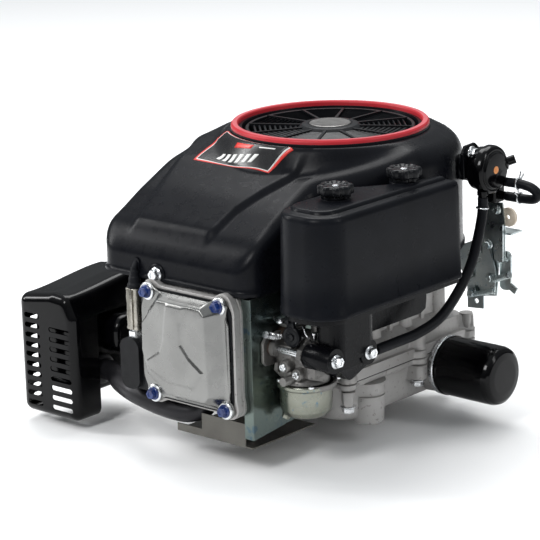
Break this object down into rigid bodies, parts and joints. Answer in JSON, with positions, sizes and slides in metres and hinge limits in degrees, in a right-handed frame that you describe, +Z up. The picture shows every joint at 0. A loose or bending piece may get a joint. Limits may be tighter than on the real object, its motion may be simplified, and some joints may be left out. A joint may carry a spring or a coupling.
{
  "type": "small gasoline engine",
  "caption": "Vertical-shaft overhead-valve air-cooled gasoline engine with a blower housing, air cleaner, carburettor, muffler with guard and spin-on oil filter.",
  "frame": {"origin": "centre of the four mounting holes' circle, on the sump's mounting face", "axes": "+Z up along the crankshaft, away from the power take-off; -Y along the cylinder towards the head; +X towards the carburettor and the oil filter"},
  "size_m": [0.5104, 0.4607, 0.354],
  "materials": {
    "cast_aluminium": "sand-cast, matt, warm grey",
    "steel_bright": "bright zinc plate",
    "steel_dark": "machined, lightly oiled",
    "gasket": "fibre gasket",
    "painted_head": "satin black paint on a casting",
    "pressed_cover": "bright satin pressing",
    "blue_bolts": "zinc plate with blue paint mark",
    "housing_black": "fine textured moulded plastic",
    "ring_red": "satin red plastic",
    "yellow_zinc": "zinc plate with a yellow and blue tint",
    "grey_sheet": "grey sheet steel",
    "porcelain": "glazed insulator and plated shell",
    "boot_sleeve": "worn plated sleeve with a rubber cap",
    "laminations": "varnished core and coil",
    "starter_black": "black enamel",
    "exhaust_black": "heat-stained dark steel",
    "guard_black": "gloss black enamel",
    "insulator_brown": "phenolic",
    "carb_casting": "die-cast, bead-blasted",
    "bowl_zinc": "yellow zinc plate",
    "lever_plastic": "black nylon",
    "elbow_black": "black moulded plastic",
    "filter_paper": "pleated paper with a foam lip",
    "cleaner_black": "fine textured moulded plastic",
    "knob_black": "moulded plastic",
    "filter_can": "gloss black enamel",
    "pump_black": "black moulded plastic",
    "hose_rubber": "matt black rubber",
    "tube_black": "black plastic tube",
    "dipstick_yellow": "yellow plastic cap",
    "fan_grey": "cast flywheel",
    "screen_black": "black nylon",
    "hub_silver": "satin disc",
    "piston_alloy": "machined alloy",
    "spring_steel": "shot-peened spring steel"
  },
  "bodies": {
    "block": {"sump": "cast_aluminium", "crankcase": "cast_aluminium", "sump_bolts": "steel_bright", "gasket_set": "gasket", "main_bearings": "steel_dark", "cylinder_head": "painted_head", "valve_cover": "pressed_cover", "valve_cover_bolts": "blue_bolts", "blower_housing": "housing_black", "housing_bolts": "steel_bright", "ring_trim": "ring_red", "side_shield": "yellow_zinc", "lower_shroud": "grey_sheet", "left_baffle": "yellow_zinc", "spark_plug": "porcelain", "spark_plug_boot": "boot_sleeve", "ignition_coil": "laminations", "starter_motor": "starter_black", "exhaust_pipe": "exhaust_black", "exhaust_nuts": "steel_bright", "muffler_body": "exhaust_black", "muffler_guard": "guard_black", "intake_insulator": "insulator_brown", "carburetor_body": "carb_casting", "float_bowl": "bowl_zinc", "intake_studs": "steel_bright", "air_cleaner_base": "elbow_black", "filter_element": "filter_paper", "fuel_pump": "pump_black", "fuel_hose": "hose_rubber", "pump_hose": "hose_rubber", "hose_clamps": "steel_bright", "control_bracket": "yellow_zinc", "oil_fill_tube": "tube_black", "valve_springs": "spring_steel"},
    "crank": {"crankshaft": "steel_dark", "flywheel": "fan_grey", "flywheel_nut": "steel_bright", "debris_screen": "screen_black", "screen_hub_cap": "hub_silver"},
    "pin_carrier": {"crankpin": "steel_dark"},
    "piston_and_rod": {"piston": "piston_alloy", "wrist_pin": "steel_dark", "connecting_rod": "piston_alloy"},
    "cam": {"camshaft": "steel_dark"},
    "intake_rocker_body": {"intake_rocker": "steel_dark"},
    "exhaust_rocker_body": {"exhaust_rocker": "steel_dark"},
    "intake_valve_body": {"intake_valve": "steel_dark"},
    "exhaust_valve_body": {"exhaust_valve": "steel_dark"},
    "intake_pushrod_body": {"intake_pushrod": "steel_dark"},
    "exhaust_pushrod_body": {"exhaust_pushrod": "steel_dark"},
    "cleaner_cover": {"air_cleaner_cover": "cleaner_black"},
    "front_knob_body": {"front_knob": "knob_black"},
    "rear_knob_body": {"rear_knob": "knob_black"},
    "throttle": {"throttle_shaft": "steel_bright"},
    "choke": {"choke_lever": "lever_plastic"},
    "control": {"control_lever": "yellow_zinc"},
    "filter_can_body": {"oil_filter": "filter_can"},
    "dipstick_body": {"dipstick": "dipstick_yellow"},
    "pinion": {"starter_pinion": "steel_dark"}
  },
  "joints": [
    {"name": "crank_spin", "type": "hinge", "parent": "block", "child": "crank", "pos_m": [0, 0, 0.1], "axis": [0, 0, 1], "continuous": true},
    {"name": "pin_carrier_spin", "type": "hinge", "parent": "crank", "child": "pin_carrier", "pos_m": [0, -0.017, 0.113], "axis": [0, 0, 1], "continuous": true},
    {"name": "piston_stroke", "type": "hinge", "parent": "pin_carrier", "child": "piston_and_rod", "pos_m": [0, -0.034, 0.113], "axis": [0, 0, 1], "continuous": true},
    {"name": "cam_spin", "type": "hinge", "parent": "block", "child": "cam", "pos_m": [-0.056, 0.038, 0.1], "axis": [0, 0, 1], "continuous": true},
    {"name": "intake_rocker_tilt", "type": "hinge", "parent": "block", "child": "intake_rocker_body", "pos_m": [-0.028, -0.246, 0.135], "axis": [0, 0, 1], "range_deg": [0, 16]},
    {"name": "exhaust_rocker_tilt", "type": "hinge", "parent": "block", "child": "exhaust_rocker_body", "pos_m": [-0.028, -0.246, 0.091], "axis": [0, 0, 1], "range_deg": [0, 16]},
    {"name": "intake_valve_lift", "type": "slide", "parent": "block", "child": "intake_valve_body", "axis": [0, 1, 0], "range_m": [0, 0.008], "deforming": ["valve_springs"]},
    {"name": "exhaust_valve_lift", "type": "slide", "parent": "block", "child": "exhaust_valve_body", "axis": [0, 1, 0], "range_m": [0, 0.008]},
    {"name": "intake_pushrod_lift", "type": "slide", "parent": "block", "child": "intake_pushrod_body", "axis": [0, -1, 0], "range_m": [0, 0.008]},
    {"name": "exhaust_pushrod_lift", "type": "slide", "parent": "block", "child": "exhaust_pushrod_body", "axis": [0, -1, 0], "range_m": [0, 0.008]},
    {"name": "cleaner_cover_lift", "type": "slide", "parent": "block", "child": "cleaner_cover", "axis": [0, 0, 1], "range_m": [0, 0.15]},
    {"name": "front_knob_turn", "type": "hinge", "parent": "cleaner_cover", "child": "front_knob_body", "pos_m": [0.15, -0.172, 0.295], "axis": [0, 0, 1], "continuous": true},
    {"name": "rear_knob_turn", "type": "hinge", "parent": "cleaner_cover", "child": "rear_knob_body", "pos_m": [0.161, -0.066, 0.295], "axis": [0, 0, 1], "continuous": true},
    {"name": "throttle_turn", "type": "hinge", "parent": "block", "child": "throttle", "pos_m": [0.102, -0.182, 0.12], "axis": [0, 0, 1], "range_deg": [0, 70]},
    {"name": "choke_turn", "type": "hinge", "parent": "block", "child": "choke", "pos_m": [0.128, -0.182, 0.12], "axis": [0, 0, 1], "range_deg": [-70, 0]},
    {"name": "control_lever_swing", "type": "hinge", "parent": "block", "child": "control", "pos_m": [0.176, 0.105, 0.165], "axis": [0, 1, 0], "range_deg": [-25, 25]},
    {"name": "oil_filter_turn", "type": "hinge", "parent": "block", "child": "filter_can_body", "pos_m": [0.16, 0.062, 0.037], "axis": [1, 0, 0], "continuous": true},
    {"name": "dipstick_pull", "type": "slide", "parent": "block", "child": "dipstick_body", "axis": [-0.0695, 0.1565, 0.9852], "range_m": [0, 0.17]},
    {"name": "pinion_throw", "type": "slide", "parent": "block", "child": "pinion", "axis": [0, 0, 1], "range_m": [0, 0.018]}
  ],
  "couplings": [
    {"joint": "pin_carrier_spin", "follows": "crank_spin", "ratio": -2},
    {"joint": "piston_stroke", "follows": "crank_spin", "ratio": 1},
    {"joint": "cam_spin", "follows": "crank_spin", "ratio": -0.5},
    {"joint": "intake_valve_lift", "follows": "intake_rocker_tilt", "m_per_rad": 0.028},
    {"joint": "intake_pushrod_lift", "follows": "intake_rocker_tilt", "m_per_rad": 0.028},
    {"joint": "exhaust_valve_lift", "follows": "exhaust_rocker_tilt", "m_per_rad": 0.028},
    {"joint": "exhaust_pushrod_lift", "follows": "exhaust_rocker_tilt", "m_per_rad": 0.028}
  ]
}
